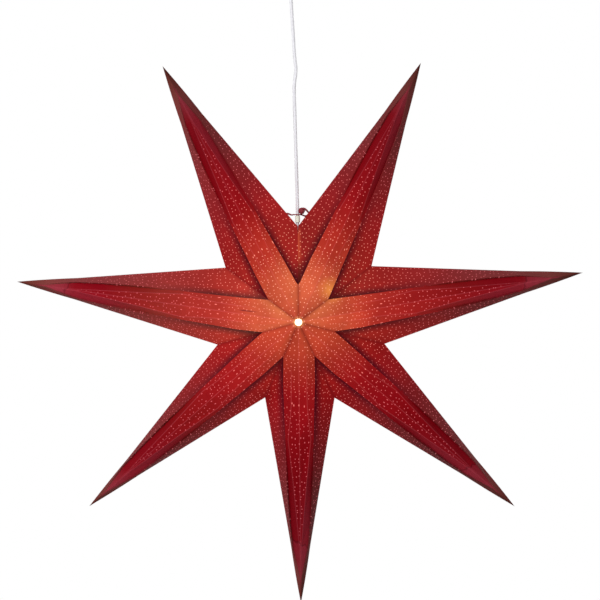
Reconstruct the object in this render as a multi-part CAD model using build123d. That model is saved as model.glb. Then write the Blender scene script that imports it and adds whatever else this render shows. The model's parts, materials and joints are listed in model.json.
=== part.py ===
from build123d import *
import os
from math import atan2, cos, degrees, radians, sin, tan

import numpy

# Lit paper star with seven folded points, hung on its cord from a ceiling cup.
# Millimetres, +Z up, +X to the right as seen from the front, which faces -Y.
# The origin is on the ceiling, at the middle of the plate that carries the lamp.

# Star
star_radius = 270.0
star_x = 7.9
star_drop = 383.7
paper_t = 0.45
centre_hole_r = 3.6
slit_gap = 1.3
edge_depth = 0.8
slit_edge_depth = 5.2
punched_hole_r = 1.3
punch_share = 0.125
lower_axis_x = 7.0

# Where each point aims, clockwise from straight up, and how far it reaches.
point_angles_deg = [25.3, 80.2, 130.5, 179.5, 228.6, 278.1, 332.0]
point_reach_shares = [1.006, 1.013, 0.998, 0.995, 0.979, 0.998, 1.017]
# The seam that follows each point clockwise, and its valley's distance from the centre.
seam_angles_deg = [52.7, 104.4, 154.6, 203.8, 254.2, 306.6, 359.6]
valley_shares = [0.3255, 0.3150, 0.2985, 0.2935, 0.2985, 0.3220, 0.3410]

# The fold lines of a point, row by row from the centre hole to the tip, as shares of the star's radius.
junction_share = 0.130
inner_row_x_shares = [0.117, 0.215, 0.290]
outer_row_x_shares = [0.333, 0.415, 0.563, 0.700, 0.800, 0.905]
row_x_shares = inner_row_x_shares + outer_row_x_shares
ridge_depth_shares = [0.267, 0.237, 0.198, 0.159, 0.144, 0.115, 0.080, 0.054, 0.0355, 0.0170]
crease_w_shares = [0.027, 0.028, 0.031, 0.040, 0.024, 0.012, 0.003, 0.001]
crease_depth_shares = [0.266, 0.229, 0.190, 0.151, 0.136, 0.090, 0.0765, 0.0525, 0.0352, 0.0168]
petal_w_shares = [0.0560, 0.0535, 0.0522, 0.0498, 0.0425, 0.0345, 0.0250, 0.0020]
petal_depth_shares = [0.263, 0.200, 0.157, 0.122, 0.109, 0.0815, 0.048, 0.0296, 0.0204, 0.0163]
fold_w_shares = [0.0326, 0.0389, 0.0419, 0.0467, 0.0470, 0.0385, 0.0289, 0.0044]
fold_depth_shares = [0.237, 0.167, 0.115, 0.100, 0.0944, 0.0796, 0.0574, 0.0370, 0.0259, 0.0163]
seam_pole_share = 0.215
flap_share = 0.60
solid_tip_share = 0.955

# Cord: a flat two-core lead, seen on its narrow side
cord_thick = 3.2
cord_wide = 5.2
cord_top = (-2.6, -22.0)
cord_kink = [(4.3, -132.9), (5.8, -142.5), (3.6, -157.1)]
cord_bend_over_tie = 5.2
swing_z = -166.0
swing_gap = 0.3
bend_share = 0.45
core_r = 1.1
core_offset = 1.3
core_gap = 0.35
core_step = 1.1
core_spread = 3.9
core_dip = 2.2
core_reach = 3.3
core_bend_r = 4.4
bared_core_r = 0.55

# Ceiling cup and plate
plate_r = 28.0
plate_t = 1.5
screw_hole_r = 2.25
screw_spacing = 40.0
supply_hole_r = 5.0
supply_hole_y = 16.0
cup_rim_r = 39.0
cup_foot_r = 24.0
cup_height = 52.0
cup_wall = 2.0
cup_clear = 0.3
cup_shoulder_share = 0.7
cup_shoulder_rise_share = 0.35
cup_rim_rise_share = 1.2
grip_r = 7.0
grip_length = 12.0
grip_bore_r = 3.4
grip_screw_r = 1.5
grip_screw_head_r = 2.6
grip_screw_head_t = 2.0

# Cord clamp under the plate
tab_width = 22.0
tab_t = 1.5
tab_bottom = -40.0
tab_face_x = -4.5
clamp_z = -30.0
clamp_height = 8.0
clamp_t = 2.0
clamp_face_x = -0.2
clamp_screw_r = 1.5
clamp_screw_y = 7.5
clamp_head_r = 2.8
clamp_head_t = 2.0
nut_t = 2.2
fit_gap = 0.1

# Terminal block
block_x = 16.0
block_size = (18.0, 20.0, 14.0)
block_bore_r = 2.0
block_tube_r = 1.95
block_tube_bore_r = 1.35
block_tube_inset = 2.0
block_pitch = 8.0
block_screw_r = 1.3
block_screw_y = 4.5
block_screw_length = 5.0

# Lamp holder, all heights above the star's centre
nipple_top = 66.0
nipple_r = 6.0
nipple_bore_r = 3.0
cap_top = 58.0
cap_bottom = 40.0
holder_r = 13.5
holder_wall = 1.6
shell_bottom = 10.0
shell_lip_r = 14.4
shell_lip_height = 3.0
insert_top = 49.0
insert_bottom = 40.2
insert_r = 11.5
insert_skirt_bottom = 15.0
insert_skirt_r = 10.0
sleeve_r = 7.55
sleeve_bore_r = 7.05
leaf_r = 4.0
leaf_t = 0.5
terminal_screw_r = 1.3
terminal_screw_x = 6.5
terminal_screw_length = 4.0
terminal_head_r = 2.2
terminal_head_t = 1.2

# Bulb, all heights above the star's centre
base_top = 36.0
base_bottom = 12.0
base_r = 6.9
thread_depth = 0.55
thread_pitch = 2.82
thread_turns = 6
insulator_r = 5.2
insulator_t = 2.0
contact_r = 2.4
contact_t = 1.0
globe_r = 22.5
globe_z = -14.0
globe_meet_deg = 50.0
glass_t = 0.8
neck_r = 6.6
stem_r = 2.0
stem_bottom = -6.0
filament_r = 0.7
filament_ring_r = 6.0
filament_length = 22.0
filament_count = 4

# Tie, measured up from the valley between the two points beside the slit
tie_over_valley = 10.43
twine_r = 0.75
strand_r = 0.62
tie_ring_r = 3.8
tie_ball_r = 3.1
tie_ball_step = (3.6, -4.4, 3.55)
end_knot_r = 2.1
end_knot_depth = 4.0
stop_wide = 7.6
stop_thick = 4.7
stop_under_tie = 1.1
stop_height = 6.3
stop_gap = 0.2

overrun = 2.0


def scaled(shares):
    return [share * star_radius for share in shares]


def tie_height():
    """The tie's height above the star's centre."""
    return valley_shares[-1] * star_radius + tie_over_valley


def write(node, shape):
    os.makedirs("parts", exist_ok=True)
    export_step(shape, "parts/" + node + ".step")


def at(x, y, z):
    return Pos(x, y, z)


def upright(radius, bottom, top, x=0.0, y=0.0):
    """A round bar from bottom to top."""
    return at(x, y, bottom) * Cylinder(radius, top - bottom, align=(Align.CENTER, Align.CENTER, Align.MIN))


def turned(outline, x, z):
    """A turned piece: outline lists (radius, height) pairs about the axis at x."""
    points = [(r, 0, h) for r, h in outline]
    face = Face(Wire.make_polygon([Vector(*p) for p in points], close=True))
    return at(x, 0, z) * revolve(face, Axis.Z)


# Folded paper


def mitre(corner, normals, thickness):
    """Moves a corner inwards so that it lies one thickness under every panel that meets there."""
    rows = numpy.array(normals)
    step = numpy.linalg.pinv(rows, rcond=0.25) @ numpy.full(len(rows), -thickness)
    return corner + step


def thick_sheet(outer, panels, thickness, inner_fixed):
    """Closes a folded sheet of triangles into a solid wall of the given thickness."""
    normals = {key: [] for key in outer}
    for panel in panels:
        a, b, c = (outer[key] for key in panel)
        normal = numpy.cross(b - a, c - a)
        size = numpy.linalg.norm(normal)
        for key in panel:
            normals[key].append(normal / size)
    inner = {key: mitre(outer[key], normals[key], thickness) for key in outer}
    inner.update(inner_fixed)
    edges = set()
    for a, b, c in panels:
        edges.update([(a, b), (b, c), (c, a)])
    triangles = []
    for a, b, c in panels:
        triangles.append((outer[a], outer[b], outer[c]))
        triangles.append((inner[a], inner[c], inner[b]))
    for a, b in edges:
        if (b, a) not in edges:
            triangles.append((outer[a], inner[a], outer[b]))
            triangles.append((outer[b], inner[a], inner[b]))
    faces = [Face(Wire.make_polygon([Vector(*p) for p in t], close=True)) for t in triangles]
    return Solid(Shell(faces))


def half_section(row, seam, valley, gap, edge_d, reach):
    """The (along, across, depth) places of one side of a point's front, from flap to crease."""
    x = [centre_hole_r] + scaled(row_x_shares)
    ridge = scaled(ridge_depth_shares)
    petal_d = scaled(petal_depth_shares)
    fold_d = scaled(fold_depth_shares)
    crease_d = scaled(crease_depth_shares)
    seam_r = min(x[row] / cos(seam), valley)
    if row == 0:
        seam_r = centre_hole_r
    if row == 1:
        seam_r = junction_share * star_radius
    if row == len(inner_row_x_shares):
        seam_r = valley
    on_seam = (seam_r * cos(seam), seam_r * sin(seam) - gap)
    rise = (valley - seam_r) / (valley - centre_hole_r)
    seam_d = edge_d + (seam_pole_share * star_radius - edge_d) * rise
    if row < 2:
        petal = (*on_seam, petal_d[row])
        fold = (*on_seam, fold_d[row])
        crease = (on_seam[0], on_seam[1] / 2, crease_d[row])
    else:
        petal = (x[row], petal_w_shares[row - 2] * star_radius, petal_d[row])
        fold = (x[row], fold_w_shares[row - 2] * star_radius, fold_d[row])
        crease = (x[row], crease_w_shares[row - 2] * star_radius, crease_d[row])
    if row <= len(inner_row_x_shares):
        edge = (*on_seam, seam_d)
        flap = (*on_seam, seam_d * flap_share)
    else:
        valley_at = (valley * cos(seam), valley * sin(seam) - gap)
        left = (reach - x[row]) / (reach - valley_at[0])
        edge = (x[row], valley_at[1] * left, edge_d * left)
        flap = None
    return [flap, edge, fold, petal, crease], (x[row], 0.0, ridge[row])


def paper_point(index):
    """One point of the star: a folded paper sleeve, open towards the centre, with glue flaps on its seams."""
    angle = radians(point_angles_deg[index])
    reach = star_radius * point_reach_shares[index]
    along = numpy.array([sin(angle), 0, cos(angle)])
    across = numpy.array([cos(angle), 0, -sin(angle)])
    middle = numpy.array([star_x, 0, -star_drop])
    sides = {}
    for side, seam_index in ((1, index), (-1, index - 1)):
        turn = side * (radians(seam_angles_deg[seam_index]) - angle)
        seam = turn % radians(360)
        at_slit = seam_index % len(seam_angles_deg) == len(seam_angles_deg) - 1
        gap = slit_gap / 2 if at_slit else 0.0
        depth = slit_edge_depth if at_slit else edge_depth
        sides[side] = (seam, valley_shares[seam_index] * star_radius, gap, depth)

    outer = {}

    def place(key, point, side, face):
        if point is not None:
            x, w, d = point
            outer[key] = middle + along * x + across * (w * side) + numpy.array([0, -d * face, 0])

    rows = len(row_x_shares) + 1
    names = ["flap", "edge", "fold", "petal", "crease"]
    for row in range(rows):
        for side in (1, -1):
            seam, valley, gap, depth = sides[side]
            half, ridge = half_section(row, seam, valley, gap, depth, reach)
            for face in (1, -1):
                for name, point in zip(names, half):
                    place((row, name, side, face), point, side, face)
                place((row, "ridge", 0, face), ridge, 0, face)
    tip = (rows, "tip", 0, 0)
    outer[tip] = middle + along * reach

    def ring(face):
        line = [(name, 1, face) for name in names] + [("ridge", 0, face)]
        return line + [(name, -1, face) for name in reversed(names)]

    panels = []

    def quad(a, b, c, d):
        """Two triangles between neighbouring fold lines, for corners that go round clockwise."""
        for triangle in ((a, b, c), (a, c, d)):
            if all(key in outer for key in triangle):
                panels.append(triangle)

    bands = []
    for face in (1, -1):
        line = ring(face)
        for first, second in zip(line, line[1:]):
            bands.append((first, second, face, 0))
    for side in (1, -1):
        bands.append((("edge", side, 1), ("edge", side, -1), -side, len(inner_row_x_shares) + 1))
    for first, second, turn, start in bands:
        if turn > 0:
            first, second = second, first
        for row in range(start, rows):
            a = (row, *first)
            b = (row, *second)
            if row + 1 == rows:
                if a in outer and b in outer:
                    panels.append((a, b, tip))
                continue
            quad(a, b, (row + 1, *second), (row + 1, *first))
    inner_tip = {tip: middle + along * (reach * solid_tip_share)}
    return thick_sheet(outer, panels, paper_t, inner_tip)


def star_points():
    points = [paper_point(i) for i in range(len(point_angles_deg))]
    lying = at(lower_axis_x, 0, tie_height() - star_drop) * Rot(0, 90, 0)
    hole = lying * Cylinder(punched_hole_r, punch_share * star_radius)
    for index in (0, len(points) - 1):
        points[index] = (points[index] - hole).solids().sort_by(SortBy.VOLUME)[-1]
    for index, point in enumerate(points):
        write("star_point_" + str(index + 1), point)


# Cord


def bend_radii(points):
    """Each bend is as large as its two runs allow."""
    radii = []
    for before, here, after in zip(points, points[1:], points[2:]):
        first = here - before
        second = after - here
        turn = radians(first.get_angle(second))
        radii.append(bend_share * min(first.length, second.length) / tan(turn / 2))
    return radii


def cord_stretch(node, places):
    points = [Vector(x, 0, z) for x, z in places]
    radii = bend_radii(points)
    path = FilletPolyline(*points, radius=radii) if radii else Line(*points)
    start = Plane(origin=points[0], x_dir=(0, 1, 0), z_dir=points[1] - points[0])
    solid = sweep(start * SlotOverall(cord_wide, cord_thick), path=path)
    section = SlotOverall(cord_wide, cord_thick).area
    print(node, "radii", [round(r, 1) for r in radii], "length", round(path.length, 1))
    print(node, "volume", round(solid.volume, 1), "section times length", round(section * path.length, 1))
    write(node, solid)


def cord_bend():
    """Where the cord turns plumb, just over the tie."""
    return lower_axis_x, tie_height() + cord_bend_over_tie - star_drop


def cord_x(z):
    """Where the straight stretch below the kink is at a height."""
    (x0, z0), (x1, z1) = cord_kink[-1], cord_bend()
    return x0 + (x1 - x0) * (z - z0) / (z1 - z0)


def cord():
    holder_end = (lower_axis_x, cap_top - star_drop - holder_wall)
    cord_stretch("cord_upper", [cord_top, *cord_kink, (cord_x(swing_z), swing_z)])
    below = swing_z - swing_gap
    cord_stretch("cord_lower", [(cord_x(below), below), cord_bend(), holder_end])


# Ceiling


def ceiling_plate():
    plate = upright(plate_r, -plate_t, 0)
    for side in (1, -1):
        plate -= upright(screw_hole_r, -plate_t - overrun, overrun, side * screw_spacing / 2)
    plate -= upright(supply_hole_r, -plate_t - overrun, overrun, 0, supply_hole_y)
    tab_height = -tab_bottom
    tab = at(tab_face_x - tab_t / 2, 0, tab_bottom / 2) * Box(tab_t, tab_width, tab_height)
    plate += tab
    for side in (1, -1):
        bore = at(tab_face_x, side * clamp_screw_y, clamp_z) * Rot(0, 90, 0)
        plate -= bore * Cylinder(clamp_screw_r + fit_gap, 2 * (tab_t + overrun))
    write("ceiling_plate", plate)


def cord_clamp():
    saddle_x = clamp_face_x + clamp_t / 2
    saddle = at(saddle_x, 0, clamp_z) * Box(clamp_t, tab_width, clamp_height)
    for side in (1, -1):
        bore = at(saddle_x, side * clamp_screw_y, clamp_z) * Rot(0, 90, 0)
        saddle -= bore * Cylinder(clamp_screw_r + fit_gap, 2 * (clamp_t + overrun))
    write("cord_clamp_saddle", saddle)
    head_face = clamp_face_x + clamp_t
    nut_face = tab_face_x - tab_t
    start = nut_face - nut_t
    screws = []
    nuts = []
    for side in (1, -1):
        y = side * clamp_screw_y
        lying = Rot(0, 90, 0)
        up = (Align.CENTER, Align.CENTER, Align.MIN)
        shank = at(start, y, clamp_z) * lying * Cylinder(clamp_screw_r, head_face - start, align=up)
        head = at(head_face, y, clamp_z) * lying * Cylinder(clamp_head_r, clamp_head_t, align=up)
        screws.append(shank + head)
        nut = extrude(RegularPolygon(clamp_head_r, 6) - Circle(clamp_screw_r + fit_gap), nut_t)
        nuts.append(at(start, y, clamp_z) * lying * nut)
    write("clamp_screws", Compound(screws))
    write("clamp_nuts", Compound(nuts))


def terminal_block():
    wide, long, high = block_size
    middle_z = -plate_t - high / 2
    block = at(block_x, 0, middle_z) * Box(wide, long, high)
    tubes = []
    screws = []
    for side in (1, -1):
        x = block_x + side * block_pitch / 2
        lying = at(x, 0, middle_z) * Rot(90, 0, 0)
        block -= lying * Cylinder(block_bore_r, long + 2 * overrun)
        tube = lying * Cylinder(block_tube_r, long - 2 * block_tube_inset)
        tube -= lying * Cylinder(block_tube_bore_r, long + 2 * overrun)
        for y in (block_screw_y, -block_screw_y):
            low = middle_z - high / 2
            high_end = low + block_screw_length
            block -= upright(block_screw_r + fit_gap, low - overrun, middle_z, x, y)
            tube -= upright(block_screw_r + fit_gap, low - overrun, middle_z, x, y)
            screws.append(upright(block_screw_r, low, high_end + block_tube_r - block_tube_bore_r, x, y))
        tubes.append(tube)
    write("terminal_block", block)
    write("terminal_tubes", Compound(tubes))
    write("terminal_screws", Compound(screws))


def supply_cores():
    """The two bared cores, from the cord's end into the terminal block."""
    wide, long, high = block_size
    bore_z = -plate_t - high / 2
    cores = []
    for side in (-1, 1):
        x_end = block_x + side * block_pitch / 2
        y_out = side * (long / 2 + core_reach)
        points = [
            Vector(cord_top[0], side * core_offset, cord_top[1] + core_gap),
            Vector(cord_top[0] + core_step, side * core_spread, bore_z - core_dip),
            Vector(block_x - wide / 2 - core_step, y_out, bore_z),
            Vector(x_end, y_out + side * core_step, bore_z),
            Vector(x_end, side * (long / 2 - block_tube_inset), bore_z),
        ]
        path = FilletPolyline(*points, radius=[min(r, core_bend_r) for r in bend_radii(points)])
        start = Plane(origin=points[0], z_dir=points[1] - points[0])
        cores.append(sweep(start * Circle(core_r), path=path))
    write("supply_cores", Compound(cores))


def ceiling_cup():
    """The cup hangs on the cord by its grip and hides the plate, leaning as little as the cord does."""
    rim = -cup_clear
    foot = -cup_height
    bend = cup_rim_r - cup_foot_r
    shoulder_r = cup_foot_r + bend * cup_shoulder_share
    shoulder_z = foot + bend * cup_shoulder_rise_share
    side_z = foot + bend * cup_rim_rise_share
    outline = [
        (grip_bore_r, foot - grip_length),
        (grip_r, foot - grip_length),
        (grip_r, foot),
        (cup_foot_r, foot),
        (shoulder_r, shoulder_z),
        (cup_rim_r, side_z),
        (cup_rim_r, rim),
        (cup_rim_r - cup_wall, rim),
        (cup_rim_r - cup_wall, side_z + cup_wall / 2),
        (shoulder_r - cup_wall, shoulder_z + cup_wall),
        (cup_foot_r - cup_wall, foot + cup_wall),
        (grip_bore_r, foot + cup_wall),
    ]
    cup = turned(outline, 0, 0)
    screw_z = foot - grip_length / 2
    lying = at(0, 0, screw_z) * Rot(0, 90, 0)
    up = (Align.CENTER, Align.CENTER, Align.MIN)
    cup -= lying * Cylinder(grip_screw_r + fit_gap, grip_r * 2, align=up)
    write("ceiling_cup", cup)
    tip = grip_bore_r - 2 * fit_gap
    shank = at(tip, 0, screw_z) * Rot(0, 90, 0) * Cylinder(grip_screw_r, grip_r - tip, align=up)
    head = at(grip_r, 0, screw_z) * Rot(0, 90, 0) * Cylinder(grip_screw_head_r, grip_screw_head_t, align=up)
    write("cup_grip_screw", shank + head)


# Lamp holder and bulb, on the cord's lower end


def holder():
    x, z = lower_axis_x, -star_drop
    wall = holder_wall
    cap = turned(
        [
            (nipple_bore_r, nipple_top),
            (nipple_r, nipple_top),
            (nipple_r, cap_top),
            (holder_r - wall, cap_top - wall),
            (holder_r, cap_top - 2 * wall),
            (holder_r, cap_bottom),
            (holder_r - wall, cap_bottom),
            (holder_r - wall, cap_top - 3 * wall),
            (nipple_bore_r, cap_top - wall),
        ],
        x,
        z,
    )
    write("holder_cap", cap)
    shell = turned(
        [
            (holder_r - wall, cap_bottom),
            (holder_r, cap_bottom),
            (holder_r, shell_bottom + shell_lip_height),
            (shell_lip_r, shell_bottom + shell_lip_height),
            (shell_lip_r, shell_bottom),
            (insert_skirt_r + fit_gap, shell_bottom),
            (insert_skirt_r + fit_gap, shell_bottom + shell_lip_height),
            (holder_r - wall, shell_bottom + shell_lip_height),
        ],
        x,
        z,
    )
    write("holder_shell", shell)
    insert = turned(
        [
            (0, insert_top),
            (insert_r, insert_top),
            (insert_r, insert_bottom),
            (insert_skirt_r, insert_bottom),
            (insert_skirt_r, insert_skirt_bottom),
            (sleeve_r, insert_skirt_bottom),
            (sleeve_r, insert_bottom),
            (0, insert_bottom),
        ],
        x,
        z,
    )
    screws = []
    for side in (1, -1):
        screw_x = x + side * terminal_screw_x
        low = z + insert_top - terminal_screw_length
        insert -= upright(terminal_screw_r + fit_gap, low, z + insert_top + overrun, screw_x)
        head_low = z + insert_top
        screw = upright(terminal_screw_r, low, head_low, screw_x)
        screws.append(screw + upright(terminal_head_r, head_low, head_low + terminal_head_t, screw_x))
    write("holder_insert", insert)
    write("holder_terminal_screws", Compound(screws))
    sleeve = upright(sleeve_r, z + insert_skirt_bottom, z + base_top, x)
    sleeve -= upright(sleeve_bore_r, z + insert_skirt_bottom - overrun, z + base_top + overrun, x)
    write("holder_screw_sleeve", sleeve)
    leaf = upright(leaf_r, z + insert_bottom - leaf_t, z + insert_bottom, x)
    write("holder_centre_contact", leaf)


def holder_cores():
    """The cord's two cores, spread to the terminal screws inside the cap."""
    x, z = lower_axis_x, -star_drop
    top = z + cap_top - holder_wall
    low = z + insert_top + terminal_head_t + core_r
    cores = []
    for side in (1, -1):
        start = Vector(x + side * bared_core_r, side * core_offset, top - 2 * core_gap)
        end = Vector(x + side * terminal_screw_x, 0, low + core_r)
        line = Line(start, end)
        plane = Plane(origin=start, z_dir=end - start)
        cores.append(sweep(plane * Circle(bared_core_r), path=line))
    write("holder_cores", Compound(cores))


def bulb():
    x, z = lower_axis_x, -star_drop
    root = base_r - thread_depth
    outline = [(0, base_top), (insulator_r, base_top), (root, base_top - thread_depth)]
    for turn in range(thread_turns):
        top = base_top - thread_pitch / 2 - turn * thread_pitch
        outline.append((root, top))
        outline.append((base_r, top - thread_pitch / 2))
    low = base_top - thread_pitch / 2 - thread_turns * thread_pitch
    outline += [(root, low), (root, base_bottom), (0, base_bottom)]
    write("bulb_base", turned(outline, x, z))
    insulator = upright(insulator_r, z + base_top, z + base_top + insulator_t, x)
    write("bulb_insulator", insulator)
    tip = z + base_top + insulator_t
    write("bulb_centre_contact", upright(contact_r, tip, tip + contact_t, x))

    def envelope(inset):
        """The globe and its neck, as a flat half outline that is spun."""
        r = globe_r - inset
        neck = neck_r - inset
        turn = radians(globe_meet_deg)
        meet = (r * cos(turn), globe_z + r * sin(turn))
        top = (neck, base_bottom)
        with BuildSketch(Plane.XZ) as outline:
            with BuildLine():
                Line((0, globe_z - r), (0, base_bottom))
                Line((0, base_bottom), top)
                Spline(top, meet, tangents=((0, -1), (sin(turn), -cos(turn))))
                ThreePointArc(meet, (r, globe_z), (0, globe_z - r))
            make_face()
        return at(x, 0, z) * revolve(outline.sketch, Axis.Z)

    write("bulb_glass", envelope(0) - envelope(glass_t))
    stem = upright(stem_r, z + stem_bottom, z + base_bottom, x)
    write("bulb_stem", stem)
    frame_low = z + stem_bottom - filament_r
    frame = upright(stem_r, frame_low - filament_r, frame_low + filament_r, x)
    for i in range(filament_count):
        turn = 360 / filament_count * i
        spoke = Rot(0, 90, 0) * upright(filament_r, 0, filament_ring_r)
        rod = upright(filament_r, -filament_length / 2, filament_length / 2, filament_ring_r)
        frame += at(x, 0, frame_low) * Rot(0, 0, turn) * (spoke + rod)
    write("bulb_filaments", frame)


# The tie that carries the star on the cord


def tie():
    x = lower_axis_x
    tie_z = tie_height() - star_drop
    twine = at(x, 0, tie_z) * Torus(tie_ring_r, twine_r)
    for side in (1, -1):
        edge_x = slit_edge_x(side, tie_height())
        inside = edge_x + side * end_knot_depth
        start = x + side * tie_ring_r
        length = abs(inside - start)
        strand = at((inside + start) / 2, 0, tie_z) * Rot(0, 90, 0) * Cylinder(strand_r, length)
        twine += strand
        twine += at(inside, 0, tie_z) * Sphere(end_knot_r)
    write("tie_twine", twine)
    ball_x, ball_y, ball_z = tie_ball_step
    write("tie_knot", at(x + ball_x, ball_y, tie_z + ball_z) * Sphere(tie_ball_r))
    stop_bottom = tie_z - stop_under_tie - stop_height
    section = SlotOverall(stop_wide, stop_thick, rotation=90)
    section -= SlotOverall(cord_wide + 2 * stop_gap, cord_thick + 2 * stop_gap, rotation=90)
    write("cord_stop", at(x, 0, stop_bottom) * extrude(section, stop_height))


def slit_edge_x(side, height):
    """Where the paper's edge beside the slit is, at a height above the star's centre."""
    index = 0 if side > 0 else len(point_angles_deg) - 1
    angle = radians(point_angles_deg[index])
    reach = star_radius * point_reach_shares[index]
    seam = radians(seam_angles_deg[-1])
    valley = valley_shares[-1] * star_radius
    x0 = star_x + valley * sin(seam) + side * slit_gap / 2
    z0 = valley * cos(seam)
    x1 = star_x + reach * sin(angle)
    z1 = reach * cos(angle)
    return x0 + (x1 - x0) * (height - z0) / (z1 - z0)


def main():
    star_points()
    cord()
    ceiling_plate()
    cord_clamp()
    terminal_block()
    supply_cores()
    ceiling_cup()
    holder()
    holder_cores()
    bulb()
    tie()
    (x0, z0), (x1, z1) = cord_top, cord_kink[0]
    print("cup slide direction", round(degrees(atan2(x1 - x0, z0 - z1)), 3), "degrees off plumb")
    print("swing pivot", round(cord_x(swing_z), 3), swing_z)


main()
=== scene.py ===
import json
import math

import bmesh
import bpy
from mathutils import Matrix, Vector, noise


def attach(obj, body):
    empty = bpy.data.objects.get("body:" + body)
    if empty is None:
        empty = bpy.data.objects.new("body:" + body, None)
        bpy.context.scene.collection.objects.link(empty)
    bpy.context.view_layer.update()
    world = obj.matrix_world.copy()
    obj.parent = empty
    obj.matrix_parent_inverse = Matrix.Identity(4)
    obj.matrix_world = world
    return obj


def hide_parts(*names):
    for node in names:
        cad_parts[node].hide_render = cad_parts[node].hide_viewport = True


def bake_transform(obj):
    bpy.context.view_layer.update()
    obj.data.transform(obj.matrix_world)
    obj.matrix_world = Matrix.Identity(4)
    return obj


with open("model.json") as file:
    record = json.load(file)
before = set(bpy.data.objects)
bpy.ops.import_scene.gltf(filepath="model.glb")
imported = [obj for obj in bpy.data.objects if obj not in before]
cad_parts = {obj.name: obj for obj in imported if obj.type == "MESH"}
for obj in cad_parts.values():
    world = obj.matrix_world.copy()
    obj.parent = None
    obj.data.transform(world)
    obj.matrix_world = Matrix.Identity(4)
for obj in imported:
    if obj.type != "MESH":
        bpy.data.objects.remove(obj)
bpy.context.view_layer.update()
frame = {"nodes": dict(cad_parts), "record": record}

MM = 0.001

# Star, in millimetres as in the frame
STAR_R = 270.0
STAR_X = 7.9
STAR_Z = -383.7
POINT_ANGLES = [25.3, 80.2, 130.5, 179.5, 228.6, 278.1, 332.0]
POINT_REACH = [1.006, 1.013, 0.998, 0.995, 0.979, 0.998, 1.017]
SEAM_ANGLES = [52.7, 104.4, 154.6, 203.8, 254.2, 306.6, 359.6]
# The open slit at the top runs between the last point and the first
SLIT_ANGLE = SEAM_ANGLES[-1]
SLIT_POINTS = (0, len(POINT_ANGLES) - 1)
# Half the gap between front and back at a point's outer edges, beside the slit and elsewhere
SLIT_EDGE_D = 5.2
EDGE_D = 0.8
VALLEY_X = 78.0
# The card's very tip, drawn out past the solid's from this share of the reach, and widened a little
TIP_FROM = 0.8
TIP_STRETCH = [2.6, 2.6, 2.6, 0.6, 2.6, 2.6, 2.6]
TIP_WIDEN = 0.18
# The slit's two petals are brought together between these heights, each by so much
SLIT_BOTTOM = 2.8
SLIT_TOP = 90
SLIT_SHUT = 0.58

# Fold lines of a point, as shares of the star's radius: how far along, then half width and depth
ALONG = [0.117, 0.215, 0.290, 0.333, 0.415, 0.563, 0.700, 0.800, 0.905]
RIDGE_D = [0.237, 0.198, 0.159, 0.144, 0.115, 0.080, 0.054, 0.0355, 0.0170]
PETAL_W = [0.0590, 0.0560, 0.0535, 0.0522, 0.0498, 0.0425, 0.0345, 0.0250, 0.0020]
PETAL_D = [0.200, 0.157, 0.122, 0.109, 0.0815, 0.048, 0.0296, 0.0204, 0.0163]
CREASE_W = [0.028, 0.027, 0.028, 0.031, 0.040, 0.024, 0.012, 0.003, 0.001]
# The outer strips of a petal, and where its inner creases have run together
STRIP_FROM = 112
STRIP_WHOLE = 212

# A point's paper is divided finely in rounds: an edge longer than the first number gets so many cuts
ROUNDS = ((16, 3), (8, 1), (6, 1))
WELD = 0.00002

# Dents, long creases and tip crumples in the card: how long and wide, where they start, the step to the next
# point's, and how deep
DENTS = (21, 11, 0.0, 7.3)
DENT_DEEP = 0.55
CREASES = (13, 26, 3.1, 5.9)
CREASE_DEEP = 0.42
CRUMPLES = (7, 10, 1.7, 3.3)
CRUMPLE_DEEP = 0.5
FOLD_DEEP = 0.7
# The back's dents are others than the front's
BACK_DENTS = 40

# Painted light and shade: how bright each half of a petal and of a flange is, left and right of its ridge,
# in the light through the card and in the card's colour
PETAL_LIGHT = [(0.88, 0.83), (1.0, 1.2), (0.95, 1.0), (1.0, 0.9), (1.15, 1.1), (1.32, 1.2), (0.86, 0.9)]
FLANGE_LIGHT = [(0.9, 1.15), (1.1, 1.05), (1.0, 1.0), (0.95, 1.1), (1.1, 1.2), (1.5, 1.4), (1.12, 1.15)]
# How much more orange each petal glows: near the middle, and along the arm
WARM = [(0.1, 0.0), (0.55, 0.35), (0.5, 0.0), (0.6, 0.0), (0.55, 0.2), (0.7, 1.0), (0.15, 0.0)]
WARMER = (0.95, 1.9, 1.45)
AMBER_LIGHT = (0.0, 0.014, 0.007)
# The bulb's place for the glow, and the hot patch where it stands nearest the card, with depths halved
BULB_AT = ((STAR_X + 3) * MM, 0, (STAR_Z + 28) * MM)
HOT_AT = ((STAR_X + 30) * MM, -0.026, (STAR_Z + 30) * MM)
HOT_REACH = 60 * MM
# The half of each petal that catches the soft light outside
PALE_SIDE = [1, 1, 1, -1, -1, -1, 1]
# How far out a zigzag fold crosses some points, and how it leans and waves
CROSS_FOLD = {1: 220, 2: 214, 3: 212, 5: 224}
FOLD_LEAN = 0.4
FOLD_WAVE = 1.4
# The petal with a short pinched crease: where the crease lies and how it leans
PINCHED = 5
PINCH_X = 48
PINCH_W = 3.7
PINCH_LEAN = 0.04

# What the card's material reads at each corner of a face, beside its flat sheet coordinates
MARKS = (
    "petal", "strip", "reach", "recess", "fold", "crease", "seam", "lit", "light", "warm", "amber", "pale",
    "cross", "pinch",
)
# Millimetres that stand for no line near, and for well short of a fold
NO_LINE = 9.0
NO_FOLD = -50.0
NO_PINCH = 50.0
# The sheets lie side by side: the flanges beside the petal, the back beside the front, then the next point
FLANGE_SHIFT = 60
BACK_SHIFT = 400
MIDDLE_SHIFT = 150
POINT_SHIFT = 0.31
# The card: how far apart its punched dots are, how wide its cloudy patches, how fine its fibres
DOT_SPACING = 4.4
PULP_PATCH = 29.41
FIBRES_PER_MM = 1.9

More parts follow.
